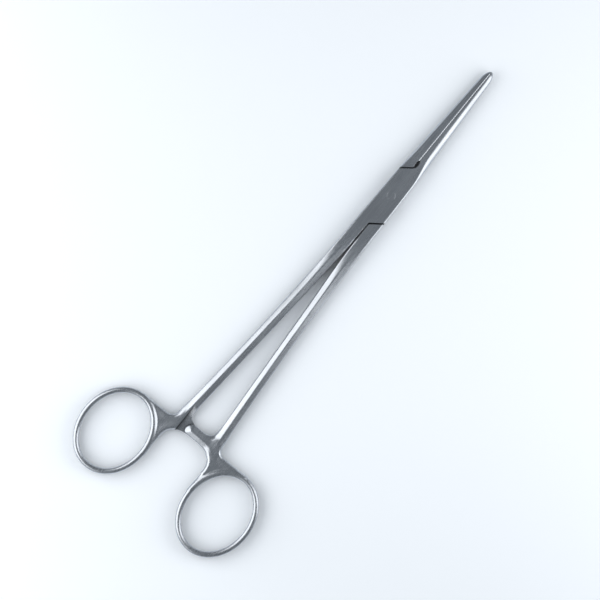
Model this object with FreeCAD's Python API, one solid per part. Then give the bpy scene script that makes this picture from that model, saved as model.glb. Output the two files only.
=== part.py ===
import FreeCAD, Part
import math
import os
from FreeCAD import Vector

# Straight hemostat forceps with finger rings, a ratchet, a box lock and cross-serrated jaws.
# Two forgings and one pin: the male half passes through a slot in the female half's box.
# Millimetres. X runs along the forceps to the jaws, Z points up, the hinge axis is at X = Y = 0,
# and the underside of the box lies at Z = 0. The shapes are drawn about their middle plane first.

# Lengths along the forceps, from the hinge axis
tip_reach = 63.9
nose_length = 4.5
jaw_start = 16.0
teeth_start = 18.4
seam_corner_x = 14.2
seam_outer_x = 10.6
block_rear = 17.0
slit_length = 13.4
yoke_reach = 114.4
arm_setback = 6.3
ring_setback = 28.0

# Box lock
box_height = 6.2
box_rear_half_width = 5.17
box_middle_half_width = 4.87
box_front_half_width = 4.4
box_flat_end = 8.0
box_edge_radius = 0.6
seam_corner_y = 0.2
seam_outer_y = 4.9
seam_corner_radius = 0.8
seam_gap = 0.4
slit_gap = 0.44
mortise_height = 2.9
tenon_hub_radius = 4.2
tenon_root = 1.5
pin_radius = 1.7
pin_clearance = 0.05
face_clearance = 0.05
side_clearance = 0.12
opening_limit = 60.0
wall_end_angle = 100.0
stop_margin = 2.0

# Jaws
nose_half_width = 2.2
nose_height = 3.2
jaw_taper_power = 1.15
jaw_blend_length = 14.0
jaw_round_at_base = 0.45
jaw_round_at_nose = 0.86
jaw_side_share = 0.44
tooth_pitch = 0.976
tooth_depth = 0.4
bite_gap = 0.12
relief_half_length = 1.85
relief_half_width = 0.75
relief_setback = 0.2
nose_end_angle = 82.0

# Shanks
shank_mid_half_width = 7.14
shank_yoke_half_width = 10.64
shank_yoke_inner = 6.06
shank_yoke_height = 4.4
shank_mid_height = 4.9
shank_root = 10.0
oval_length = 35.0
shank_root_sink = 0.2
shank_root_narrowing = 0.9
slit_bend_length = 6.0
slit_edge_radius = 0.15
shank_side_share = 0.48
shank_drop_share = 0.46

# Finger rings
ring_offset = 26.4
ring_half_length = 17.6
ring_half_width = 14.1
ring_band_width = 2.35
ring_band_height = 4.4
ring_band_sides = 12

# Yoke and ratchet
yoke_thickness = 3.5
yoke_edge_radius = 1.1
yoke_front_radius = 4.6
yoke_rear_radius = 7.0
yoke_notch_depth = 0.3
yoke_notch_radius = 1.9
web_lead = 3.0
web_inset = 0.9
web_flare = 0.4
web_overlap = 2.0
arm_width = 4.7
arm_overhang = 5.1
arm_tip_radius = 2.8
arm_root_radius = 4.2
arm_height = 2.1
arm_bevel = 2.1
arm_bevel_drop = 1.1
arm_edge_bevel = 0.5
root_sink = 0.25
root_sink_start = 4.5
root_inset = 1.2
root_end = 1.0
arm_gap = 0.1
ratchet_step = 8.0
ratchet_tooth_pitch = 1.6
ratchet_tooth_depth = 0.7
ratchet_teeth = 4
ratchet_first_tooth = 0.8
ratchet_face_share = 0.15
pocket_lead = 0.4
pocket_ramp = 5.0

# How many cross-sections each loft runs through, how far a cut runs past what it cuts,
# and how near to a plane an edge must lie to be picked as lying in it
box_sections = 4
jaw_sections = 8
nose_sections = 5
shank_sections = 10
cut_margin = 2.0
near = 0.1

# Worked out from the sizes above
half_height = box_height / 2
nose_start = tip_reach - nose_length
ring_reach = yoke_reach + ring_setback
ring_front = ring_half_length + ring_band_width / 2 - ring_reach
ring_inner = ring_offset - ring_half_width - ring_band_width / 2
arm_front = yoke_reach + arm_setback
arm_rear = arm_front + arm_width
notch_side = shank_yoke_inner + yoke_notch_depth
pocket_front = yoke_reach - pocket_lead
ORIGIN = Vector(0, 0, 0)
X_AXIS = Vector(1, 0, 0)
UP = Vector(0, 0, 1)


def blend(a, b, t):
    """A value from a to b as t goes from 0 to 1, level at both ends."""
    t = min(max(t, 0.0), 1.0)
    return a + (b - a) * t * t * (3 - 2 * t)


def parabola(points, x):
    """The height at x of the parabola through three points."""
    total = 0.0
    for i, (xi, yi) in enumerate(points):
        term = yi
        for j, (xj, _) in enumerate(points):
            if j != i:
                term *= (x - xj) / (xi - xj)
        total += term
    return total


def turned_over(shape):
    """The same forging turned over about the length of the forceps."""
    copy = shape.copy()
    copy.rotate(ORIGIN, X_AXIS, 180)
    return copy


def quarter(start, corner, end):
    """A quarter of an ellipse that leaves start and reaches end along the two sides of a corner."""
    curve = Part.BezierCurve()
    curve.setPoles([start, corner, end])
    curve.setWeight(2, math.sqrt(0.5))
    return curve.toShape()


def section(x, low, high, height, round_low, round_high, round_height):
    """A closed cross-section in the plane at x, from y = low to y = high, with oval corners."""
    top = height / 2
    edges = []
    corners = [
        (Vector(x, high, -top), Vector(x, high, -top + round_height), Vector(x, high - round_high, -top)),
        (Vector(x, high, top), Vector(x, high - round_high, top), Vector(x, high, top - round_height)),
        (Vector(x, low, top), Vector(x, low, top - round_height), Vector(x, low + round_low, top)),
        (Vector(x, low, -top), Vector(x, low + round_low, -top), Vector(x, low, -top + round_height)),
    ]
    for i, (corner, leave, arrive) in enumerate(corners):
        edges.append(quarter(arrive, corner, leave))
        edges.append(Part.makeLine(leave, corners[(i + 1) % 4][2]))
    return Part.Wire(edges)


def rounded_outline(points):
    """A closed face from corner points (x, y, radius), each corner rounded by its own radius."""
    places = [Vector(p[0], p[1], 0) for p in points]
    count = len(places)
    cuts = []
    for i, here in enumerate(places):
        back = (places[i - 1] - here).normalize()
        ahead = (places[(i + 1) % count] - here).normalize()
        radius = points[i][2]
        if radius == 0:
            cuts.append((here, here, here))
            continue
        half_turn = back.getAngle(ahead) / 2
        reach = radius / math.tan(half_turn)
        middle = (back + ahead).normalize() * (radius / math.sin(half_turn) - radius)
        cuts.append((here + back * reach, here + middle, here + ahead * reach))
    edges = []
    for i, (start, middle, end) in enumerate(cuts):
        if points[i][2]:
            edges.append(Part.Arc(start, middle, end).toShape())
        following = cuts[(i + 1) % count][0]
        if end.distanceToPoint(following) > 1e-6:
            edges.append(Part.makeLine(end, following))
    return Part.Face(Part.Wire(edges))


def plate(points, low, high):
    """The prism of a rounded outline between two heights."""
    face = rounded_outline(points)
    face.translate(Vector(0, 0, low))
    return face.extrude(UP * (high - low))


def level_edges(shape, height):
    """The edges of a shape that lie at one height."""
    return [e for e in shape.Edges if all(abs(v.Z - height) < 1e-6 for v in e.Vertexes)]


def polar(radius, degrees):
    """The point (x, y) at a radius and an angle about the hinge axis."""
    angle = math.radians(degrees)
    return radius * math.cos(angle), radius * math.sin(angle)


def across(point):
    """The point on the other side of the hinge axis."""
    return -point[0], -point[1]


def half_width(x):
    """Half the width of the closed forceps at x: a parabola at the box, then a straight taper."""
    if x < jaw_start:
        return parabola([(-block_rear, box_rear_half_width),
                         (0, box_middle_half_width),
                         (jaw_start, box_front_half_width)], x)
    share = (x - jaw_start) / (nose_start - jaw_start)
    return box_front_half_width + (nose_half_width - box_front_half_width) * share


def bar_section(x, fullness=1.0):
    """The closed forceps cut across at x: flat with rolled edges at the box, oval at the jaws."""
    share = max(x - box_flat_end, 0) / (nose_start - box_flat_end)
    wide = half_width(x) * fullness
    height = (box_height + (nose_height - box_height) * share ** jaw_taper_power) * fullness
    roundness = jaw_round_at_base + (jaw_round_at_nose - jaw_round_at_base) * share
    side = blend(box_edge_radius, wide * roundness, (x - box_flat_end) / jaw_blend_length)
    drop = blend(box_edge_radius, height * jaw_side_share, (x - box_flat_end) / jaw_blend_length)
    return section(x, -wide, wide, height, side, side, drop)


def spaced(start, end, count):
    """Evenly spaced values from start to end, both included."""
    return [start + (end - start) * i / (count - 1) for i in range(count)]


def closed_bar():
    """The box and both jaws as one bar, before the two halves are cut out of it."""
    box = [bar_section(x) for x in spaced(-block_rear, box_flat_end, box_sections)]
    jaws = [bar_section(x) for x in spaced(box_flat_end, nose_start, jaw_sections)]
    nose = []
    for angle in spaced(0, math.radians(nose_end_angle), nose_sections):
        along = math.sin(angle) / math.sin(math.radians(nose_end_angle))
        nose.append(bar_section(nose_start + nose_length * along, math.cos(angle)))
    solids = [Part.makeLoft(sections, True, True) for sections in (box, jaws, nose)]
    return solids[0].fuse(solids[1:])


def shank_inner(back):
    """The shank's inner side: along the slit, then straight outwards, with a soft bend between."""
    past = back - block_rear - slit_length
    slope = (shank_yoke_inner - slit_gap / 2) / (yoke_reach - block_rear - slit_length)
    return slit_gap / 2 + slope * (past + math.hypot(past, slit_bend_length)) / 2


def shank():
    """The long arm of one half, from the box to the yoke: flat-topped at the box, then oval."""
    outer = [(block_rear, half_width(-block_rear)),
             ((block_rear + yoke_reach) / 2, shank_mid_half_width),
             (yoke_reach, shank_yoke_half_width)]
    wires = []
    for back in spaced(block_rear, yoke_reach + shank_root, shank_sections):
        low, high = shank_inner(back), parabola(outer, back)
        ovality = (back - block_rear) / oval_length
        past_oval = (back - block_rear - oval_length) / (yoke_reach - block_rear - oval_length)
        height = blend(blend(box_height, shank_mid_height, ovality), shank_yoke_height, past_oval)
        fading = (back - yoke_reach) / shank_root
        height = blend(height, yoke_thickness - 2 * shank_root_sink, fading)
        low = blend(low, low + shank_root_narrowing, fading)
        high = blend(high, high - shank_root_narrowing, fading)
        wide = high - low
        round_high = blend(box_edge_radius, wide * shank_side_share, ovality)
        round_low = blend(slit_edge_radius, wide * shank_side_share, ovality)
        drop = blend(box_edge_radius, height * shank_drop_share, ovality)
        wires.append(section(-back, low, high, height, round_low, round_high, drop))
    return Part.makeLoft(wires, True, True)


def ring_ellipse(height):
    """The middle line of a ring's band, at one height."""
    centre = Vector(-ring_reach, ring_offset, height)
    return Part.Wire([Part.Ellipse(centre, ring_half_length, ring_half_width).toShape()])


def ring():
    """One finger ring: a band of narrow strips, oval across, swept round an ellipse."""
    start = Vector(-ring_reach + ring_half_length, ring_offset, 0)
    step = 2 * math.pi / ring_band_sides
    reach = 0.5 / math.cos(step / 2)
    corners = []
    for side in range(ring_band_sides):
        angle = (side + 0.5) * step
        sideways = X_AXIS * (ring_band_width * reach * math.cos(angle))
        corners.append(start + sideways + UP * (ring_band_height * reach * math.sin(angle)))
    band = Part.makePolygon(corners + corners[:1])
    return ring_ellipse(0).makePipeShell([band], True, True)


def yoke():
    """The thin web that joins the ring to the shank and the ratchet arm."""
    web = plate([
        (-ring_reach, ring_offset, 0),
        (-ring_reach, ring_inner, 0),
        (-arm_rear, ring_inner, yoke_rear_radius),
        (-arm_rear, shank_yoke_inner - web_overlap, 0),
        (-arm_front, shank_yoke_inner - web_overlap, 0),
        (-arm_front, notch_side, yoke_notch_radius),
        (-yoke_reach + web_lead, notch_side, 0),
        (-yoke_reach + web_lead, shank_yoke_half_width - web_inset, 0),
        (ring_front, shank_yoke_half_width + web_flare, yoke_front_radius),
        (ring_front, ring_offset, 0),
    ], -yoke_thickness / 2, yoke_thickness / 2)
    rims = level_edges(web, yoke_thickness / 2) + level_edges(web, -yoke_thickness / 2)
    web = web.makeFillet(yoke_edge_radius, rims)
    hole = Part.Face(ring_ellipse(-ring_band_height))
    return web.cut(hole.extrude(UP * ring_band_height * 2))


def ratchet_arm():
    """The arm that reaches under the other half's arm, bevelled along its front edge and its tip.

    Its root spreads into the yoke along the yoke's own rear curve, and sinks below the web there.
    """
    root_rear = -arm_rear - yoke_rear_radius - root_end
    arm = plate([
        (-arm_rear, -arm_overhang, 0),
        (-arm_front, -arm_overhang, arm_tip_radius),
        (-arm_front, notch_side, arm_root_radius),
        (-pocket_front, notch_side, 0),
        (-pocket_front, shank_yoke_half_width - root_inset, 0),
        (-arm_front - root_inset, ring_inner, 0),
        (root_rear, ring_inner + root_end, 0),
        (root_rear, ring_inner, 0),
        (-arm_rear, ring_inner, yoke_rear_radius),
    ], -arm_height, 0)
    inner_side = []
    for edge in level_edges(arm, -arm_height):
        box = edge.BoundBox
        if box.YMax < ratchet_step and box.XMax > -arm_rear + near:
            inner_side.append(edge)
    arm = arm.makeChamfer(arm_bevel_drop, arm_bevel, inner_side)
    rear_side = [e for e in level_edges(arm, -arm_height) if e.BoundBox.XMin < -arm_rear + near]
    rear_side = [e for e in rear_side if e.BoundBox.YMax < ring_inner + near]
    upright = [e for e in arm.Edges if e.BoundBox.XMax < -arm_rear + near and e.BoundBox.YMax < 0]
    arm = arm.makeChamfer(arm_edge_bevel, rear_side + upright)
    sink_end = ring_inner + cut_margin
    sink = [(root_sink_start, -arm_height), (sink_end, -yoke_thickness / 2 + root_sink),
            (sink_end, -ring_band_height), (root_sink_start, -ring_band_height)]
    corners = [Vector(-ring_reach, y, z) for y, z in sink]
    return arm.cut(Part.Face(Part.makePolygon(corners + corners[:1])).extrude(X_AXIS * ring_reach))


def ratchet_pocket():
    """What is cut away above the lower arm: the room for the other arm, with the saw teeth below it."""
    tip_level = -arm_gap / 2
    floor = tip_level - ratchet_tooth_depth
    top = ring_band_height
    rear = -arm_rear - cut_margin
    end = -arm_overhang - cut_margin
    first = -arm_overhang + ratchet_first_tooth
    points = [(ratchet_step, top), (ratchet_step, floor)]
    points.append((first + ratchet_teeth * ratchet_tooth_pitch, floor))
    for tooth in reversed(range(ratchet_teeth)):
        root = first + tooth * ratchet_tooth_pitch
        points += [(root + ratchet_tooth_pitch * ratchet_face_share, tip_level), (root, floor)]
    points += [(first, tip_level), (end, tip_level), (end, top)]
    corners = [Vector(rear, y, z) for y, z in points]
    room = Part.Face(Part.makePolygon(corners + corners[:1])).extrude(X_AXIS * (-pocket_front - rear))
    ramp = [(rear, -top), (-pocket_front - pocket_ramp, -top), (-pocket_front - pocket_ramp, floor),
            (-pocket_front, arm_height), (-pocket_front, top), (rear, top)]
    corners = [Vector(x, -ring_offset, z) for x, z in ramp]
    side = Part.Face(Part.makePolygon(corners + corners[:1])).extrude(Vector(0, 2 * ring_offset, 0))
    return room.common(side)


def handle():
    """The ring, yoke, ratchet arm and shank of the half whose handle is on the +Y side."""
    body = shank().fuse([yoke(), ring(), ratchet_arm()])
    return body.cut(ratchet_pocket())


def seam_line(offset):
    """The two ends of the rear seam, moved away from the hinge axis by an offset."""
    corner = Vector(-seam_corner_x, -seam_corner_y, 0)
    outer = Vector(-seam_outer_x, -seam_outer_y, 0)
    along = (outer - corner).normalize()
    away = Vector(along.y, -along.x, 0)
    if away.dot(corner) < 0:
        away = away * -1
    start = corner + away * offset
    end = outer + away * offset + along * cut_margin
    return (start.x, start.y), (end.x, end.y)


def bite(side):
    """The serrated bite line of one jaw, from its heel to past its tip: side is 1 or -1."""
    teeth = math.ceil((tip_reach + tooth_pitch - teeth_start) / tooth_pitch)
    line = []
    for tooth in range(teeth):
        x = teeth_start + tooth * tooth_pitch
        line.append((x, side * bite_gap / 2 - tooth_depth / 2, 0))
        line.append((x + tooth_pitch / 2, side * bite_gap / 2 + tooth_depth / 2, 0))
    return line


def relief():
    """The small round-ended gap behind the teeth."""
    rear = jaw_start + relief_setback - relief_half_length
    front = jaw_start + relief_setback + relief_half_length
    return plate([
        (rear, -relief_half_width, relief_half_width),
        (front, -relief_half_width, relief_half_width),
        (front, relief_half_width, relief_half_width),
        (rear, relief_half_width, relief_half_width),
    ], -box_height, box_height)


def tenon_outline(clearance, flank_angle):
    """The plan of the tenon, or of its slot: a hub with an arm to the rear and one to the front.

    Each arm is bounded by the line from the seam's corner that touches the hub, and on its other
    side by the ray at flank_angle, past which the slot or the tenon ends.
    """
    radius = tenon_hub_radius + clearance
    corner = (-seam_corner_x, slit_gap / 2 - side_clearance + clearance)
    reach = math.hypot(*corner)
    touch_angle = math.degrees(math.atan2(corner[1], corner[0]) - math.acos(radius / reach))
    touch = polar(radius, touch_angle)
    flank = polar(box_rear_half_width * 3, flank_angle)
    rear = [(0, 0), touch, corner, (-seam_corner_x - tenon_root, -seam_corner_y),
            (-seam_outer_x - tenon_root, -box_rear_half_width - cut_margin), flank]
    arms = []
    for side in (rear, [across(p) for p in rear]):
        face = rounded_outline([(x, y, 0) for x, y in side])
        arms.append(face)
    hub = Part.Face(Part.Wire([Part.Circle(ORIGIN, UP, radius).toShape()]))
    return hub, arms


def tenon_solid(clearance, flank_angle, height):
    """The tenon or its slot as a solid about the middle plane."""
    hub, arms = tenon_outline(clearance, flank_angle)
    solids = []
    for face in [hub] + arms:
        face.translate(Vector(0, 0, -height / 2))
        solids.append(face.extrude(UP * height))
    return solids[0].fuse(solids[1:])


def pin_hole(radius):
    """A cylinder on the hinge axis through the whole box."""
    return Part.makeCylinder(radius, box_height, Vector(0, 0, -half_height))


def female_block(bar):
    """The box and the -Y jaw, cut from the bar along the seams, the slit and the bite line."""
    rear_corner, rear_end = seam_line(-seam_gap / 2)
    wide = box_rear_half_width + cut_margin
    outline = [(-block_rear, wide, 0), (-block_rear, slit_gap / 2, 0)]
    outline += [(rear_corner[0], slit_gap / 2, seam_corner_radius), (rear_end[0], rear_end[1], 0)]
    outline += [(rear_end[0], -wide, 0), (tip_reach + cut_margin, -wide, 0)]
    outline += list(reversed(bite(-1)))
    outline += [(jaw_start, 0, 0)]
    front_corner, front_end = across(rear_corner), across(rear_end)
    outline += [(front_corner[0], front_corner[1], 0), (front_end[0], front_end[1], 0)]
    outline += [(front_end[0], wide, 0)]
    return bar.common(plate(outline, -box_height, box_height))


def male_blocks(bar):
    """The shoulders of the male half: the end of its shank behind the box, and the +Y jaw."""
    rear_corner, rear_end = seam_line(seam_gap / 2)
    wide = box_rear_half_width + cut_margin
    rear = [(-block_rear, -wide, 0), (rear_end[0], -wide, 0), (rear_end[0], rear_end[1], 0),
            (rear_corner[0], -slit_gap / 2, seam_corner_radius), (-block_rear, -slit_gap / 2, 0)]
    front_corner, front_end = across(rear_corner), across(rear_end)
    front = [(front_corner[0], front_corner[1], 0), (jaw_start, 0, 0)] + bite(1)
    front += [(tip_reach + cut_margin, wide, 0), (front_end[0], wide, 0), (front_end[0], front_end[1], 0)]
    return [bar.common(plate(outline, -box_height, box_height)) for outline in (rear, front)]


def female_half(bar, grip):
    """Handle on the +Y side, box with its slot, jaw on the -Y side."""
    body = grip.fuse(female_block(bar))
    slot = tenon_solid(side_clearance, wall_end_angle + 180, mortise_height)
    return body.cut([slot, relief(), pin_hole(pin_radius)])


def male_half(bar, grip):
    """Handle on the -Y side, tenon through the box, jaw on the +Y side."""
    flank = wall_end_angle + 180 - opening_limit - stop_margin
    tenon = tenon_solid(0, flank, mortise_height - 2 * face_clearance).common(bar)
    body = turned_over(grip).fuse(male_blocks(bar) + [tenon])
    return body.cut([relief(), pin_hole(pin_radius + pin_clearance)])


def export(shape, name):
    """Seat the shape on its underside and write it as one STEP file."""
    solid = shape.copy()
    solid.translate(Vector(0, 0, half_height))
    print(name, "solids", len(solid.Solids), "valid", solid.isValid(), "volume", round(solid.Volume, 1))
    solid.exportStep(os.path.join("parts", name + ".step"))


os.makedirs("parts", exist_ok=True)
whole_bar = closed_bar()
one_handle = handle()
export(female_half(whole_bar, one_handle), "female_half")
export(male_half(whole_bar, one_handle), "male_half")
export(pin_hole(pin_radius), "hinge_pin")
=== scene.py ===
import bpy
import math
import numpy as np
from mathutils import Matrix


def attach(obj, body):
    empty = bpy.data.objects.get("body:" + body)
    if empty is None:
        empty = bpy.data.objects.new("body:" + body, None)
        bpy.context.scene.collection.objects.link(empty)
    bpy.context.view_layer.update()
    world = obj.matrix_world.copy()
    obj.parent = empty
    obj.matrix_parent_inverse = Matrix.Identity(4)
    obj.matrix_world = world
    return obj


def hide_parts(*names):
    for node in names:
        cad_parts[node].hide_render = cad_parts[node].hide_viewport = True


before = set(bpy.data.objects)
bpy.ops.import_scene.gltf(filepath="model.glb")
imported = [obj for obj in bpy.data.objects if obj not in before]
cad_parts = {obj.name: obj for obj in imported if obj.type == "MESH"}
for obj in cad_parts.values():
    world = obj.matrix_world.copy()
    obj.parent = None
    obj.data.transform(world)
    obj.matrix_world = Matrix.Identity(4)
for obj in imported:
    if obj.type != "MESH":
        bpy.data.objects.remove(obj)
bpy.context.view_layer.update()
scene = bpy.context.scene


# Satin steel. Every piece is the same hardened stainless steel, ground and then brushed.
# The finish has a fine grain, faint rub marks and softened edges, and painted shade darkens its seams and
# crevices.

def shader_group(name, inputs, outputs):
    """An empty node group with number inputs (name: default) and outputs (name: socket type)."""
    group = bpy.data.node_groups.new(name, "ShaderNodeTree")
    for label, default in inputs.items():
        socket = group.interface.new_socket(label, in_out="INPUT", socket_type="NodeSocketFloat")
        socket.default_value = default
    for label, kind in outputs.items():
        group.interface.new_socket(label, in_out="OUTPUT", socket_type=kind)
    return group, group.nodes.new("NodeGroupInput"), group.nodes.new("NodeGroupOutput")


def node(tree, kind, **settings):
    """A node of one kind with its properties set."""
    made = tree.nodes.new(kind)
    for name, value in settings.items():
        setattr(made, name, value)
    return made


def spread(tree, source, given, gives, **settings):
    """A value taken from one range (low, high) to another, in a straight line unless set otherwise."""
    made = node(tree, "ShaderNodeMapRange", **settings)
    for label, value in zip(("From Min", "From Max", "To Min", "To Max"), (*given, *gives)):
        made.inputs[label].default_value = value
    tree.links.new(source, made.inputs["Value"])
    return made.outputs["Result"]


def product(tree, a, b):
    """Two values multiplied."""
    made = node(tree, "ShaderNodeMath", operation="MULTIPLY")
    tree.links.new(a, made.inputs[0])
    tree.links.new(b, made.inputs[1])
    return made.outputs[0]


def satin_grain():
    """Grain, rub marks and cloudy patches in object space, as a roughness, a height and a tint."""
    group, given, gives = shader_group(
        "satin_grain", {"Grain size": 5200.0, "Rub size": 420.0},
        {"Roughness": "NodeSocketFloat", "Height": "NodeSocketFloat", "Tint": "NodeSocketFloat"})
    link = group.links.new
    place = node(group, "ShaderNodeTexCoord")
    grain = node(group, "ShaderNodeTexNoise", noise_dimensions="3D")
    grain.inputs["Detail"].default_value = 3.0
    link(place.outputs["Object"], grain.inputs["Vector"])
    link(given.outputs["Grain size"], grain.inputs["Scale"])
    stretch = node(group, "ShaderNodeMapping")
    stretch.inputs["Scale"].default_value = (0.16, 1.0, 1.0)
    stretch.inputs["Rotation"].default_value = (0.0, 0.0, 0.35)
    link(place.outputs["Object"], stretch.inputs["Vector"])
    rubs = node(group, "ShaderNodeTexNoise", noise_dimensions="3D")
    rubs.inputs["Detail"].default_value = 6.0
    rubs.inputs["Roughness"].default_value = 0.62
    link(stretch.outputs["Vector"], rubs.inputs["Vector"])
    link(given.outputs["Rub size"], rubs.inputs["Scale"])
    clouds = node(group, "ShaderNodeTexNoise", noise_dimensions="3D")
    clouds.inputs["Scale"].default_value = 95.0
    clouds.inputs["Detail"].default_value = 2.0
    link(place.outputs["Object"], clouds.inputs["Vector"])
    mixed = node(group, "ShaderNodeMath", operation="MULTIPLY_ADD")
    mixed.inputs[1].default_value = 0.5
    link(grain.outputs["Fac"], mixed.inputs[0])
    link(rubs.outputs["Fac"], mixed.inputs[2])
    link(spread(group, mixed.outputs[0], (0.45, 1.05), (0.22, 0.32)), gives.inputs["Roughness"])
    link(mixed.outputs[0], gives.inputs["Height"])
    link(spread(group, clouds.outputs["Fac"], (0.3, 0.7), (0.94, 1.05)), gives.inputs["Tint"])
    return group


grain_group = satin_grain()


def satin_steel(name, colour, grain_depth):
    """Brushed steel: the grain sets roughness and bump, edges are softened, and painted shade darkens seams
    and crevices.
    """
    made = bpy.data.materials.new(name)
    made.use_nodes = True
    tree = made.node_tree
    link = tree.links.new
    shader = tree.nodes["Principled BSDF"]
    shader.inputs["Metallic"].default_value = 1.0
    grain = node(tree, "ShaderNodeGroup", node_tree=grain_group)
    soft_edge = node(tree, "ShaderNodeBevel", samples=6)
    soft_edge.inputs["Radius"].default_value = 0.0001
    bump = node(tree, "ShaderNodeBump")
    bump.inputs["Strength"].default_value = grain_depth
    bump.inputs["Distance"].default_value = 0.00002
    link(grain.outputs["Height"], bump.inputs["Height"])
    link(soft_edge.outputs["Normal"], bump.inputs["Normal"])
    link(bump.outputs["Normal"], shader.inputs["Normal"])
    link(grain.outputs["Roughness"], shader.inputs["Roughness"])
    # Painted shade: occlusion darkens the base colour in seams, gaps, teeth and other crevices.
    opening = node(tree, "ShaderNodeAmbientOcclusion", samples=12)
    opening.inputs["Distance"].default_value = 0.0025
    painted_shade = spread(tree, opening.outputs["AO"], (0.45, 0.92), (0.06, 1.0))
    # The random cloudy tint of the steel, times the painted shade.
    tint_and_painted_shade = product(tree, grain.outputs["Tint"], painted_shade)
    shade = node(tree, "ShaderNodeMix", data_type="RGBA", blend_type="MULTIPLY")
    shade.inputs["Factor"].default_value = 1.0
    shade.inputs["A"].default_value = (*colour, 1.0)
    link(tint_and_painted_shade, shade.inputs["B"])
    link(shade.outputs["Result"], shader.inputs["Base Color"])
    return made


steel_colour, grain_depth = (0.50, 0.525, 0.56), 0.12
steel = satin_steel("satin_steel", steel_colour, grain_depth)


# The two forgings. Each half is forged in one, then ground: ring, yoke, ratchet arm, shank, and then
# either the slotted box or the thin tenon that passes through it, and a jaw with cut serrations.
# Sizes are in millimetres from the hinge axis and the middle plane, and become metres at the end.

lift = 3.1
box_rear, box_flat_end, jaw_start, nose_start, tip = -17.0, 8.0, 16.0, 59.4, 63.9
rear_half_width, middle_half_width, front_half_width, nose_half_width = 5.17, 4.87, 4.4, 2.2
box_height, nose_height, taper_power = 6.2, 3.2, 1.15
edge_radius, jaw_blend_length = 0.6, 14.0
round_at_base, round_at_nose, drop_share = 0.45, 0.86, 0.44
nose_turn = math.radians(82)
groove_start, groove_end, bevel_width, bevel_depth = 17.6, 63.8, 0.32, 0.17
teeth_start, teeth, tooth_pitch, tooth_depth, bite_gap = 18.4, 48, 0.976, 0.4, 0.12
slit, slit_length, slit_bend, seam_half_gap = 0.26, 13.4, 6.0, 0.27
seam_corner, seam_outer, seam_radius = (-14.2, -0.2), (-10.6, -4.9), 0.8
hub_radius, slot_height, tenon_height, slot_clearance = 4.2, 2.9, 2.8, 0.12
box_pin_hole, tenon_pin_hole = 1.7, 1.75
shank_start, shank_middle, yoke_reach, shank_end = 17.0, 65.7, 114.4, 126.4
shank_outer_middle, shank_outer_end, shank_inner_end = 7.14, 10.64, 6.06
oval_length, oval_end, shank_middle_height, shank_yoke_height = 35.0, 52.0, 4.9, 4.4
ring_centre, ring_half_length, ring_half_width = (-142.4, 26.4), 17.6, 14.1
band_half_width, band_half_height, band_roof, band_ease = 1.17, 2.2, 0.55, 0.12
ring_inner = 11.125
arm_front, arm_rear, arm_end, arm_height = -120.7, -125.4, -5.1, 2.1
notch, notch_radius, yoke_rear_radius = 6.36, 1.9, 7.0
arm_corners, arm_root_radius = (1.6, 2.8), 4.2


def smooth(a, b, t):
    """A value going from a to b as t goes from 0 to 1, level at both ends."""
    t = np.clip(t, 0.0, 1.0)
    return a + (b - a) * t * t * (3 - 2 * t)


def half_width(x):
    """Half the width of the closed forceps: a parabola over the box, then a straight taper."""
    bulge = np.polyval(np.polyfit([box_rear, 0.0, jaw_start],
                                  [rear_half_width, middle_half_width, front_half_width], 2), x)
    narrowing = nose_half_width - front_half_width
    taper = front_half_width + narrowing * (x - jaw_start) / (nose_start - jaw_start)
    return np.where(x < jaw_start, bulge, taper)


def rounded_rows(x, low, high, height, round_low, round_high, drop, count=10):
    """Cross-sections at each x: a rectangle from low to high whose corners are quarter ellipses.

    Two more points on each straight side, close to its ends, keep its shading flat."""
    turn = np.linspace(0, math.pi / 2, count)
    c, s = np.cos(turn), np.sin(turn)
    x, low, high, height, round_low, round_high, drop = [
        np.broadcast_to(v, np.shape(x))[:, None] for v in (x, low, high, height, round_low, round_high, drop)]
    top = height / 2
    flat_low, flat_high, upright = low + round_low, high - round_high, top - drop
    inset = np.minimum(0.25, (flat_high - flat_low) * 0.3)
    down = np.minimum(0.25, upright * 0.6)
    y = np.hstack([high - round_high * (1 - c), flat_high - inset, flat_low + inset,
                   low + round_low * (1 - s), low, low,
                   low + round_low * (1 - c), flat_low + inset, flat_high - inset,
                   high - round_high * (1 - s), high, high])
    z = np.hstack([top - drop * (1 - s), top, top,
                   top - drop * (1 - c), upright - down, down - upright,
                   -top + drop * (1 - s), -top, -top,
                   -top + drop * (1 - c), down - upright, upright - down])
    return np.stack([np.broadcast_to(x, y.shape), y, z], axis=2)


def mesh_piece(name, points, faces):
    """An object from points in millimetres and faces."""
    mesh = bpy.data.meshes.new(name)
    mesh.from_pydata(np.asarray(points).reshape(-1, 3).tolist(), [], faces)
    made = bpy.data.objects.new(name, mesh)
    scene.collection.objects.link(made)
    return made


def skin(name, rows):
    """A closed surface through rows of points: a tube with two flat ends."""
    count, around = rows.shape[:2]
    i, j = np.meshgrid(np.arange(count - 1), np.arange(around), indexing="ij")
    i2, j2 = i + 1, (j + 1) % around
    quads = np.stack([i * around + j, i * around + j2, i2 * around + j2, i2 * around + j], axis=-1)
    faces = quads.reshape(-1, 4).tolist()
    faces += [list(range(around))[::-1], list(range((count - 1) * around, count * around))]
    made = mesh_piece(name, rows, faces)
    outward(made)
    return made


def outward(piece):
    """Turn a closed surface inside out where its volume comes out negative."""
    mesh = piece.data
    mesh.calc_loop_triangles()
    corners = np.empty(len(mesh.loop_triangles) * 3, dtype=np.int32)
    mesh.loop_triangles.foreach_get("vertices", corners)
    points = np.empty(len(mesh.vertices) * 3)
    mesh.vertices.foreach_get("co", points)
    a, b, c = points.reshape(-1, 3)[corners].reshape(-1, 3, 3).transpose(1, 0, 2)
    if np.einsum("ij,ij->i", a, np.cross(b, c)).sum() < 0:
        mesh.flip_normals()


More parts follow.
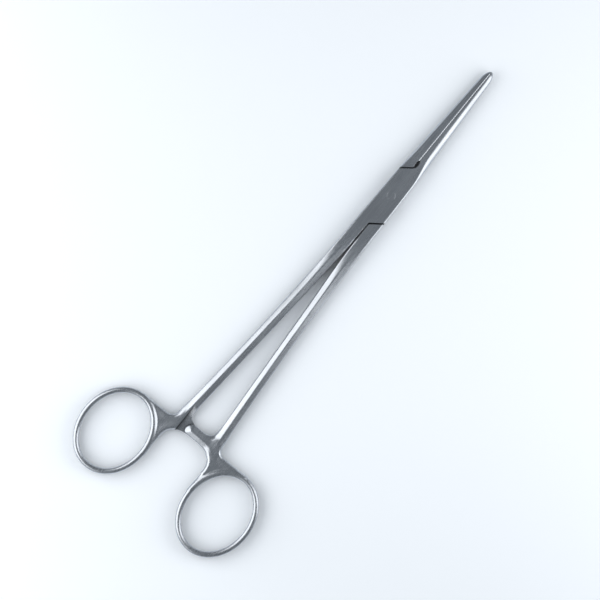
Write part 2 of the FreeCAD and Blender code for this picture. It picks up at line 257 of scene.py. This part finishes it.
def rounded_line(corners, spacing=0.3):
    """A closed line through corners (x, y, radius), each corner turned by an arc of its radius."""
    places = np.array([c[:2] for c in corners], dtype=float)
    parts = []
    for here, before, after, radius in zip(places, np.roll(places, 1, 0), np.roll(places, -1, 0),
                                           [c[2] for c in corners]):
        back = (before - here) / np.linalg.norm(before - here)
        ahead = (after - here) / np.linalg.norm(after - here)
        if radius == 0:
            parts.append(here[None])
            continue
        half = math.acos(np.clip(back @ ahead, -1, 1)) / 2
        middle = here + (back + ahead) / np.linalg.norm(back + ahead) * radius / math.sin(half)
        start = here + back * radius / math.tan(half) - middle
        sweep = math.pi - 2 * half
        sweep *= np.sign(-back[0] * ahead[1] + back[1] * ahead[0])
        count = max(4, int(abs(sweep) * radius / spacing) + 1)
        a = np.linspace(0, sweep, count)
        parts.append(middle + np.stack([start[0] * np.cos(a) - start[1] * np.sin(a),
                                        start[0] * np.sin(a) + start[1] * np.cos(a)], axis=1))
    return np.vstack(parts)


def prism(name, line, low, high):
    """The upright prism of a closed line."""
    line = np.asarray(line, dtype=float)[:, :2]
    return skin(name, np.array([np.column_stack([line, np.full(len(line), float(z))]) for z in (low, high)]))


def side_prism(name, line, start, end, along="x"):
    """A prism lying along x, or along y, from its closed line in the plane across it."""
    line = np.asarray(line, dtype=float)
    rows = []
    for position in (start, end):
        across = np.full((len(line), 1), position)
        parts = [across, line] if along == "x" else [line[:, :1], across, line[:, 1:]]
        rows.append(np.hstack(parts))
    return skin(name, np.array(rows))


def cut_with(piece, tools, operation):
    """Unite a piece with tools, cut them away, or keep what is common, and drop the tools."""
    for tool in tools:
        change = piece.modifiers.new("work", "BOOLEAN")
        change.operation = operation
        change.solver = "EXACT"
        change.object = tool
        graph = bpy.context.evaluated_depsgraph_get()
        done = bpy.data.meshes.new_from_object(piece.evaluated_get(graph))
        piece.modifiers.clear()
        piece.data = done
        bpy.data.objects.remove(tool)
    return piece


def turned_over(piece, name):
    """A copy of a piece turned over about the length of the forceps."""
    copy = piece.copy()
    copy.data = piece.data.copy()
    copy.name = name
    scene.collection.objects.link(copy)
    points = np.empty(len(copy.data.vertices) * 3)
    copy.data.vertices.foreach_get("co", points)
    points = points.reshape(-1, 3) * (1, -1, -1)
    copy.data.vertices.foreach_set("co", points.ravel())
    copy.data.update()
    return copy


def bar_profile(x):
    """How full the bar is at x (it rounds off in the nose), its height there, and its share of the jaw."""
    end = math.sin(nose_turn)
    fullness = np.sqrt(1 - np.clip((x - nose_start) / (tip - nose_start) * end, 0, end) ** 2)
    share = np.clip((x - box_flat_end) / (nose_start - box_flat_end), 0, None)
    height = (box_height + (nose_height - box_height) * share ** taper_power) * fullness
    return fullness, height, share


def closed_bar():
    """Box and jaws as one bar: flat with rolled edges at the box, oval at the jaws, a round nose.
    The edges that meet along the bite are bevelled, above and below."""
    turn = np.linspace(0, nose_turn, 22)[1:]
    x = np.concatenate([np.linspace(box_rear, box_flat_end, 40),
                        np.linspace(box_flat_end, nose_start, 110)[1:],
                        nose_start + (tip - nose_start) * np.sin(turn) / math.sin(nose_turn)])
    fullness, height, share = bar_profile(x)
    wide = half_width(x) * fullness
    roundness = round_at_base + (round_at_nose - round_at_base) * share
    side = smooth(edge_radius, wide * roundness, (x - box_flat_end) / jaw_blend_length)
    drop = smooth(edge_radius, height * drop_share, (x - box_flat_end) / jaw_blend_length)
    bar = skin("bar", rounded_rows(x, -wide, wide, height, side, side, drop))
    along = np.linspace(groove_start, groove_end, 120)
    top = bar_profile(along)[1] / 2
    grooves = []
    for face in (1, -1):
        y = np.broadcast_to(bevel_width * np.array([-2.0, 0.0, 2.0]), (len(along), 3))
        z = face * (top[:, None] + bevel_depth * np.array([1.0, -1.0, 1.0]))
        grooves.append(skin("groove", np.stack([np.broadcast_to(along[:, None], y.shape), y, z], axis=2)))
    return cut_with(bar, grooves, "DIFFERENCE")


def soft_join(a, b, reach):
    """Two depths united with a fillet: their lower one, eased where they differ by less than reach."""
    share = np.clip(0.5 + 0.5 * (b - a) / reach, 0, 1)
    return b + (a - b) * share - reach * share * (1 - share)


def rounded_meet(a, b, radius):
    """What two depths have in common, with the edge between them rounded by a radius."""
    over_a, over_b = np.maximum(a + radius, 0), np.maximum(b + radius, 0)
    return np.minimum(np.maximum(a, b), -radius) + np.hypot(over_a, over_b)


def plan_distance(x, y, line, closed=True):
    """Distance in plan from points to a line, negative inside where the line is closed."""
    ends = np.roll(line, -1, 0) if closed else line[1:]
    starts = line if closed else line[:-1]
    flat = np.stack([x.ravel(), y.ravel()], axis=1)
    result = np.full(len(flat), 12.0)
    near = np.flatnonzero(np.all((flat > line.min(0) - 5) & (flat < line.max(0) + 5), axis=1))
    for part in np.array_split(near, max(1, len(near) // 20000)):
        p = flat[part][:, None]
        run = ends - starts
        along = np.clip(np.sum((p - starts) * run, axis=2) / np.sum(run * run, axis=1), 0, 1)
        away = np.linalg.norm(p - starts - along[..., None] * run, axis=2).min(axis=1)
        if closed:
            crossed = (starts[:, 1] > p[..., 1]) != (ends[:, 1] > p[..., 1])
            rise = np.where(run[:, 1] == 0, 1.0, run[:, 1])
            left = p[..., 0] < run[:, 0] * (p[..., 1] - starts[:, 1]) / rise + starts[:, 0]
            away = np.where(np.sum(crossed & left, axis=1) % 2 == 1, -away, away)
        result[part] = away
    return result.reshape(x.shape)


def ring_depth(x, y, z):
    """A band carried round an ellipse: upright sides and a soft roof ridge along its middle."""
    x, y = x - ring_centre[0], y - ring_centre[1]
    size = np.hypot(x / ring_half_length, y / ring_half_width) + 1e-9
    away = (size - 1) * size / (np.hypot(x / ring_half_length ** 2, y / ring_half_width ** 2) + 1e-9)
    share = np.abs(away) / band_half_width
    top = band_half_height - band_roof * (0.4 * (np.hypot(share, band_ease) - band_ease) + 0.6 * share ** 2)
    return rounded_meet((np.abs(z) - top) / 1.08, np.abs(away) - band_half_width, 0.5)


def shank_depth(x, y, z):
    """The long arm: a flat top at the box turns into a soft roof ridge, then sinks into the yoke."""
    back = -x
    past = back - shank_start - slit_length
    slope = (shank_inner_end - slit) / (yoke_reach - shank_start - slit_length)
    low = slit + slope * (past + np.hypot(past, slit_bend)) / 2
    high = np.polyval(np.polyfit([shank_start, shank_middle, yoke_reach],
                                 [rear_half_width, shank_outer_middle, shank_outer_end], 2), back)
    ovality = (back - shank_start) / oval_length
    past_oval = (back - oval_end) / (yoke_reach - oval_end)
    height = smooth(smooth(box_height, shank_middle_height, ovality), shank_yoke_height, past_oval)
    fading = (back - yoke_reach - 2.0) / 10.0
    height = smooth(height, -0.4, fading)
    low, high = smooth(low, low + 0.9, fading), smooth(high, high - 0.9, fading)
    half = (high - low) / 2
    share = np.abs(y - (low + high) / 2) / half
    roof = smooth(0.0, 0.21, ovality) * height
    share_eased = np.hypot(share, 0.05) - 0.05
    top = height / 2 - roof * (0.72 * share_eased + 0.28 * share ** 2)
    over = (np.abs(z) - top) / np.hypot(1, roof / half)
    beside = np.maximum(low - y, y - high)
    outer_radius = smooth(edge_radius, 0.5, ovality)
    radius = np.where(y < (low + high) / 2, smooth(0.15, 0.5, ovality), outer_radius)
    return np.maximum(rounded_meet(over, beside, radius), -shank_end - x)


web_line = rounded_line([(-142.4, 26.4, 0), (-142.4, ring_inner, 0), (arm_rear, ring_inner, yoke_rear_radius),
                         (arm_rear, 4.06, 0), (arm_front, 4.06, 0), (arm_front, notch, notch_radius),
                         (-111.4, notch, 0), (-111.4, 9.74, 0), (-123.625, 11.04, 4.6),
                         (-123.625, 26.4, 0)], 0.5)
arm_line = rounded_line([(arm_rear, arm_end, arm_corners[0]), (arm_front, arm_end, arm_corners[1]),
                         (arm_front, notch, arm_root_radius), (-114.0, notch, 0), (-114.0, 9.44, 0),
                         (-121.9, ring_inner, 0), (-133.4, 12.125, 0), (-133.4, ring_inner, 0),
                         (arm_rear, ring_inner, yoke_rear_radius)], 0.4)
front_edge = rounded_line([(-123.6, arm_end, 0), (arm_front, arm_end, arm_corners[1]),
                           (arm_front, notch, arm_root_radius), (-108.0, 6.1, 0)], 0.4)[:-1]
rear_edge = rounded_line([(-122.6, arm_end, 0), (arm_rear, arm_end, arm_corners[0]),
                          (arm_rear, ring_inner, yoke_rear_radius), (-136.0, ring_inner, 0)], 0.4)[:-1]


def web_depth(x, y, z):
    """The thin web between ring, shank and arm, slightly hollow, with its edges rolled."""
    plan = plan_distance(x, y, web_line)
    hollow = smooth(0.0, 0.2, (-plan - 0.8) / 3.0)
    in_ring = 1 - np.hypot((x - ring_centre[0]) / ring_half_length, (y - ring_centre[1]) / ring_half_width)
    plan = np.maximum(plan, in_ring * 14.0)
    thinner = smooth(0.0, 2.6, (x + 121.0) / 8.5) + smooth(0.9, 0.0, (y - 4.0) / 5.0)
    return rounded_meet(plan, np.abs(z) - 1.75 + hollow + thinner, np.clip(1.1 - 0.7 * thinner, 0.3, None))


def arm_depth(x, y, z):
    """The ratchet arm below the middle plane: a roof whose ridge follows the arm into the yoke."""
    plan = plan_distance(x, y, arm_line)
    to_front = plan_distance(x, y, front_edge, False)
    to_rear = plan_distance(x, y, rear_edge, False)
    sharpness = 2.4
    near_front = np.exp(-sharpness * np.clip(to_front, 0, 6))
    near_rear = np.exp(-sharpness * np.clip(to_rear * 1.05, 0, 6))
    ridge = -np.log(near_front + near_rear) / sharpness
    sunk = smooth(0.0, 0.6, (y - 1.5) / 8.0) + smooth(0.0, 1.3, (x - arm_front) / 5.0)
    outer = arm_height - sunk - 0.42 * np.clip(arm_height - ridge, 0, None)
    return rounded_meet(rounded_meet(plan, -z - outer, 0.35), z, 0.06)


def handle_depth(x, y, z):
    """Ring, web, shank and arm united with fillets, each as deep as the real forging shows."""
    joined = soft_join(shank_depth(x, y, z), web_depth(x, y, z), 2.0)
    joined = soft_join(joined, arm_depth(x, y, z), 1.1)
    return soft_join(joined, ring_depth(x, y, z), 1.1)


def skin_of(name, depth, low, high, cell):
    """The closed skin where a depth is nought: one point for each grid cell that the skin crosses,
    a square across each grid edge that it crosses, and each point then moved onto the skin itself."""
    axes = [np.arange(a, b + cell, cell) for a, b in zip(low, high)]
    x, y, z = axes[0][:, None, None], axes[1][None, :, None], axes[2][None, None, :]
    x, y = np.broadcast_arrays(x, y)
    field = np.broadcast_to(depth(x, y, z), (len(axes[0]), len(axes[1]), len(axes[2])))
    inside = field < 0
    size = np.array(inside.shape) - 1
    total, count = np.zeros((*size, 3)), np.zeros(size)
    for axis in range(3):
        ahead, behind = field.swapaxes(0, axis)[1:], field.swapaxes(0, axis)[:-1]
        changed = (ahead < 0) != (behind < 0)
        share = np.where(changed, behind / np.where(changed, behind - ahead, 1), 0)
        changed, share = changed.swapaxes(0, axis), share.swapaxes(0, axis)
        others = [a for a in range(3) if a != axis]
        for i in (0, 1):
            for j in (0, 1):
                pick = [slice(None)] * 3
                pick[others[0]] = slice(i, i - 1 or None)
                pick[others[1]] = slice(j, j - 1 or None)
                here = changed[tuple(pick)]
                count += here
                total[..., axis] += share[tuple(pick)]
                total[..., others[0]] += i * here
                total[..., others[1]] += j * here
    crossed = count > 0
    number = np.full(crossed.shape, -1)
    number[crossed] = np.arange(crossed.sum())
    points = np.argwhere(crossed) + total[crossed] / count[crossed][:, None]
    points = points * cell + np.array([a[0] for a in axes])
    squares = []
    for axis in range(3):
        first = inside.swapaxes(0, axis)
        change = first[1:] != first[:-1]
        change = change[:, 1:-1, 1:-1]
        at = np.argwhere(change)
        here = number.swapaxes(0, axis)
        i, j, k = at[:, 0], at[:, 1], at[:, 2]
        square = np.stack([here[i, j, k], here[i, j + 1, k],
                           here[i, j + 1, k + 1], here[i, j, k + 1]], axis=1)
        flip = first[i, j + 1, k + 1] != (axis > 0)
        square[~flip] = square[~flip][:, ::-1]
        squares.append(square)
    squares = np.vstack(squares)
    edges = np.vstack([squares[:, [0, 1]], squares[:, [1, 2]]])
    ends = np.concatenate([edges[:, 0], edges[:, 1]])
    others = np.concatenate([edges[:, 1], edges[:, 0]])
    met = np.bincount(ends, minlength=len(points))[:, None]
    step = 0.004
    for turn in range(6):
        if turn < 4:
            pull = np.stack([np.bincount(ends, points[others, a], len(points)) for a in range(3)], axis=1)
            points = points * 0.5 + pull / met * 0.5
        px, py, pz = points.T
        value = depth(px, py, pz)
        slope = np.stack([depth(px + step, py, pz) - depth(px - step, py, pz),
                          depth(px, py + step, pz) - depth(px, py - step, pz),
                          depth(px, py, pz + step) - depth(px, py, pz - step)], axis=1) / (2 * step)
        move = slope * (value / np.maximum(np.sum(slope * slope, axis=1), 0.2))[:, None]
        points = points - np.clip(move, -cell, cell)
    made = mesh_piece(name, points, squares.tolist())
    outward(made)
    return made


def ratchet_pocket():
    """The room over the lower arm, with four saw teeth left standing on its floor."""
    tip_level, floor_level, top = -0.05, -0.75, 4.4
    first, pitch, face_share, count = -4.3, 1.6, 0.15, 4
    rear, front, ramp_start = -127.4, -114.0, -119.0
    past_root, past_end, side = 8.0, -7.1, 26.4
    line = [(past_root, top), (past_root, floor_level), (first + count * pitch, floor_level)]
    for tooth in reversed(range(count)):
        root = first + tooth * pitch
        line += [(root + pitch * face_share, tip_level), (root, floor_level)]
    line += [(first, tip_level), (past_end, tip_level), (past_end, top)]
    room = side_prism("room", line, rear, front)
    ramp = [(rear, -top), (ramp_start, -top), (ramp_start, floor_level), (front, arm_height), (front, top),
            (rear, top)]
    return cut_with(room, [side_prism("ramp", ramp, -side, side, along="y")], "INTERSECT")


def seam(offset):
    """The two ends of the rear seam between box and shank, moved away from the hinge by an offset."""
    corner, outer = np.array(seam_corner), np.array(seam_outer)
    along = (outer - corner) / np.linalg.norm(outer - corner)
    away = np.array([along[1], -along[0]])
    away *= np.sign(away @ corner)
    return corner + away * offset, outer + away * offset + along * 2


def bite(side):
    """The zigzag of one jaw's serrations: a root and a crest for each tooth, half a pitch apart."""
    heel = teeth_start + tooth_pitch * np.arange(teeth)
    root = np.stack([heel, np.full(teeth, side * bite_gap / 2 - tooth_depth / 2)], axis=1)
    crest = np.stack([heel + tooth_pitch / 2, np.full(teeth, side * bite_gap / 2 + tooth_depth / 2)], axis=1)
    return np.stack([root, crest], axis=1).reshape(-1, 2)


def sharp_corners(points):
    """Corners for rounded_line from plain points, with no rounding."""
    return [(p[0], p[1], 0.0) for p in points]


outside, past_tip = 7.17, 65.9


def block_line(female):
    """The plan outlines that cut the bar: one for the box and lower jaw, or two for the shoulders."""
    corner, end = seam(-seam_half_gap if female else seam_half_gap)
    front_corner, front_end = (-corner[0], -corner[1], 0), (-end[0], -end[1], 0)
    if female:
        corners = [(box_rear, outside, 0), (box_rear, slit, 0), (corner[0], slit, seam_radius)]
        corners += [(end[0], end[1], 0), (end[0], -outside, 0), (past_tip, -outside, 0)]
        corners += sharp_corners(bite(-1)[::-1]) + [(jaw_start, 0, 0), front_corner, front_end]
        return [rounded_line(corners + [(-end[0], outside, 0)])]
    rear = [(box_rear, -outside, 0), (end[0], -outside, 0), (end[0], end[1], 0),
            (corner[0], -slit, seam_radius), (box_rear, -slit, 0)]
    front = [front_corner, (jaw_start, 0, 0)] + sharp_corners(bite(1))
    front += [(past_tip, outside, 0), (-end[0], outside, 0), front_end]
    return [rounded_line(rear), rounded_line(front)]


def tenon(name, clearance, flank_angle, height):
    """The thin middle of the male half, or its slot: a round hub with an arm to each side."""
    radius = hub_radius + clearance
    corner = np.array([seam_corner[0], slit - slot_clearance + clearance])
    reach = np.linalg.norm(corner)
    touch_angle = math.atan2(corner[1], corner[0]) - math.acos(radius / reach)
    touch = radius * np.array([math.cos(touch_angle), math.sin(touch_angle)])
    flank = 15.51 * np.array([math.cos(math.radians(flank_angle)), math.sin(math.radians(flank_angle))])
    rear = np.array([(0, 0), touch, corner, (-15.7, -0.2), (-12.1, -outside), flank])
    turn = np.linspace(0, 2 * math.pi, 96, endpoint=False)
    hub = radius * np.stack([np.cos(turn), np.sin(turn)], axis=1)
    made = prism(name, hub, -height / 2, height / 2)
    return cut_with(made, [prism("arm_a", rear, -height / 2, height / 2),
                           prism("arm_b", -rear, -height / 2, height / 2)], "UNION")


def pin_hole(radius):
    """A round cutter on the hinge axis."""
    turn = np.linspace(0, 2 * math.pi, 72, endpoint=False)
    return prism("hole", radius * np.stack([np.cos(turn), np.sin(turn)], axis=1), -5, 5)


def relief():
    """The small oval gap behind the teeth."""
    turn = np.linspace(0, 2 * math.pi, 60, endpoint=False)
    line = np.stack([16.25 + 1.9 * np.cos(turn), -0.12 + 0.7 * np.sin(turn)], axis=1)
    return prism("relief", line, -5, 5)


def creases(mesh, degrees):
    """Which edges of a mesh are sharper than an angle."""
    mesh.set_sharp_from_angle(angle=math.radians(degrees))
    sharp = np.empty(len(mesh.edges), dtype=bool)
    mesh.attributes["sharp_edge"].data.foreach_get("value", sharp)
    return sharp


handle_crease, box_crease = 48, 22


def finished(piece, name, body):
    """Metres, the frame's height, smooth faces with sharp creases, steel, and its place in the frame."""
    piece.name = piece.data.name = name
    points = np.empty(len(piece.data.vertices) * 3)
    piece.data.vertices.foreach_get("co", points)
    points = (points.reshape(-1, 3) + (0, 0, lift)) / 1000
    piece.data.vertices.foreach_set("co", points.ravel())
    piece.data.shade_smooth()
    handle_creases, box_creases = creases(piece.data, handle_crease), creases(piece.data, box_crease)
    ends = np.empty(len(piece.data.edges) * 2, dtype=np.int32)
    piece.data.edges.foreach_get("vertices", ends)
    at_box = np.all(points[ends.reshape(-1, 2), 0] > (box_rear - 0.1) / 1000, axis=1)
    sharp = handle_creases | (box_creases & at_box)
    piece.data.attributes["sharp_edge"].data.foreach_set("value", sharp)
    piece.data.materials.clear()
    piece.data.materials.append(steel)
    piece.data.update()
    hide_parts(body + "_half")
    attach(piece, body)
    return piece


handle_low, handle_high, cell = (-162.5, -6.5, -3.6), (-16.0, 43.0, 3.6), 0.3
handle = skin_of("handle", handle_depth, handle_low, handle_high, cell)
behind_box = prism("behind_box", [(-170, -10), (box_rear, -10), (box_rear, 50), (-170, 50)], -5, 5)
handle = cut_with(handle, [behind_box], "INTERSECT")
handle = cut_with(handle, [ratchet_pocket()], "DIFFERENCE")
upper_handle = turned_over(handle, "upper_handle")

box_plan = prism("plan", block_line(True)[0], -box_height, box_height)
box_and_jaw = cut_with(closed_bar(), [box_plan], "INTERSECT")
female = cut_with(handle, [box_and_jaw], "UNION")
slot = tenon("slot", slot_clearance, 280.0, slot_height)
female = cut_with(female, [slot, relief(), pin_hole(box_pin_hole)], "DIFFERENCE")
finished(female, "box_half", "female")

shoulders = [cut_with(closed_bar(), [prism("plan", line, -box_height, box_height)], "INTERSECT")
             for line in block_line(False)]
middle = cut_with(tenon("tenon", 0.0, 218.0, tenon_height), [closed_bar()], "INTERSECT")
male = cut_with(upper_handle, shoulders + [middle], "UNION")
male = cut_with(male, [relief(), pin_hole(tenon_pin_hole)], "DIFFERENCE")
finished(male, "tenon_half", "male")


# Hinge pin. A plain steel pin through both cheeks of the box and the tenon, riveted and ground flush,
# so only a faint ring shows where its end meets the box.

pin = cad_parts["hinge_pin"]
pin.data.materials.clear()
pin.data.materials.append(steel)


# Studio. The forceps lie on a pale table under three soft lamps, and the camera looks straight
# down on them. The table glows a little by itself, less near the middle, with painted shadow under the
# forceps.

floor_mesh = bpy.data.meshes.new("floor")
floor_mesh.from_pydata([(-3, -3, 0), (3, -3, 0), (3, 3, 0), (-3, 3, 0)], [], [(0, 1, 2, 3)])
floor = bpy.data.objects.new("floor", floor_mesh)
scene.collection.objects.link(floor)
paper = bpy.data.materials.new("pale_table")
paper.use_nodes = True
table = paper.node_tree
table_shader = table.nodes["Principled BSDF"]
table_shader.inputs["Base Color"].default_value = (0.90, 0.94, 0.985, 1)
table_shader.inputs["Roughness"].default_value = 0.9
seen = node(table, "ShaderNodeLightPath")
straight_or_mirrored = node(table, "ShaderNodeMath", operation="MAXIMUM")
table.links.new(seen.outputs["Is Camera Ray"], straight_or_mirrored.inputs[0])
table.links.new(seen.outputs["Is Glossy Ray"], straight_or_mirrored.inputs[1])
table_place = node(table, "ShaderNodeTexCoord")
away = node(table, "ShaderNodeVectorMath", operation="LENGTH")
table.links.new(table_place.outputs["Object"], away.inputs[0])
far_glow = spread(table, away.outputs["Value"], (0.12, 0.70), (0.21, 0.8), interpolation_type="SMOOTHSTEP")
# Painted shadow: occlusion takes the glow away under the forceps and in the gaps between its parts.
uncovered = node(table, "ShaderNodeAmbientOcclusion", samples=16)
uncovered.inputs["Distance"].default_value = 0.008
glow_with_painted_shadow = product(table, far_glow, uncovered.outputs["AO"])
glow = product(table, straight_or_mirrored.outputs[0], glow_with_painted_shadow)
table_shader.inputs["Emission Color"].default_value = (0.90, 0.95, 1.0, 1)
table.links.new(glow, table_shader.inputs["Emission Strength"])
floor_mesh.materials.append(paper)

world = bpy.data.worlds.new("studio_air")
world.use_nodes = True
air = world.node_tree
air.nodes["Background"].inputs["Color"].default_value = (0.86, 0.93, 1.0, 1)
straight = node(air, "ShaderNodeLightPath")
brightness = spread(air, straight.outputs["Is Camera Ray"], (0.0, 1.0), (0.26, 0.94))
air.links.new(brightness, air.nodes["Background"].inputs["Strength"])
scene.world = world


def lamp(name, spot, aim, size, watts):
    """A soft oblong lamp at a spot, turned towards the point that it aims at."""
    data = bpy.data.lights.new(name, "AREA")
    data.shape = "RECTANGLE"
    data.size, data.size_y = size
    data.energy = watts
    made = bpy.data.objects.new(name, data)
    scene.collection.objects.link(made)
    made.visible_camera = False
    made.location = spot
    direction = np.array(aim) - np.array(spot)
    direction /= np.linalg.norm(direction)
    made.rotation_euler = (math.acos(-direction[2]), 0, math.atan2(direction[1], direction[0]) - math.pi / 2)
    return made


lamp("ring_side_lamp", (-0.25, 0.235, 0.20), (-0.13, 0.0, 0.0), (0.46, 0.42), 1.12)
lamp("jaw_side_lamp", (0.155, -0.25, 0.19), (0.155, 0.0, 0.0), (0.36, 0.42), 0.88)
lamp("rear_lamp", (-0.42, 0.0, 0.22), (-0.14, 0.0, 0.0), (0.16, 0.20), 0.07)

photo_turn = math.radians(-50.8)
view_width, lens, sensor = 0.24, 200.0, 36.0
view_centre, middle_height = (-0.0552, 0.0019), 0.0031
camera_data = bpy.data.cameras.new("camera")
camera_data.lens = lens
camera_data.sensor_width = sensor
camera = bpy.data.objects.new("camera", camera_data)
scene.collection.objects.link(camera)
camera.location = (*view_centre, view_width * lens / sensor + middle_height)
camera.rotation_euler = (0, 0, photo_turn)
scene.camera = camera
scene.view_settings.view_transform = "Standard"
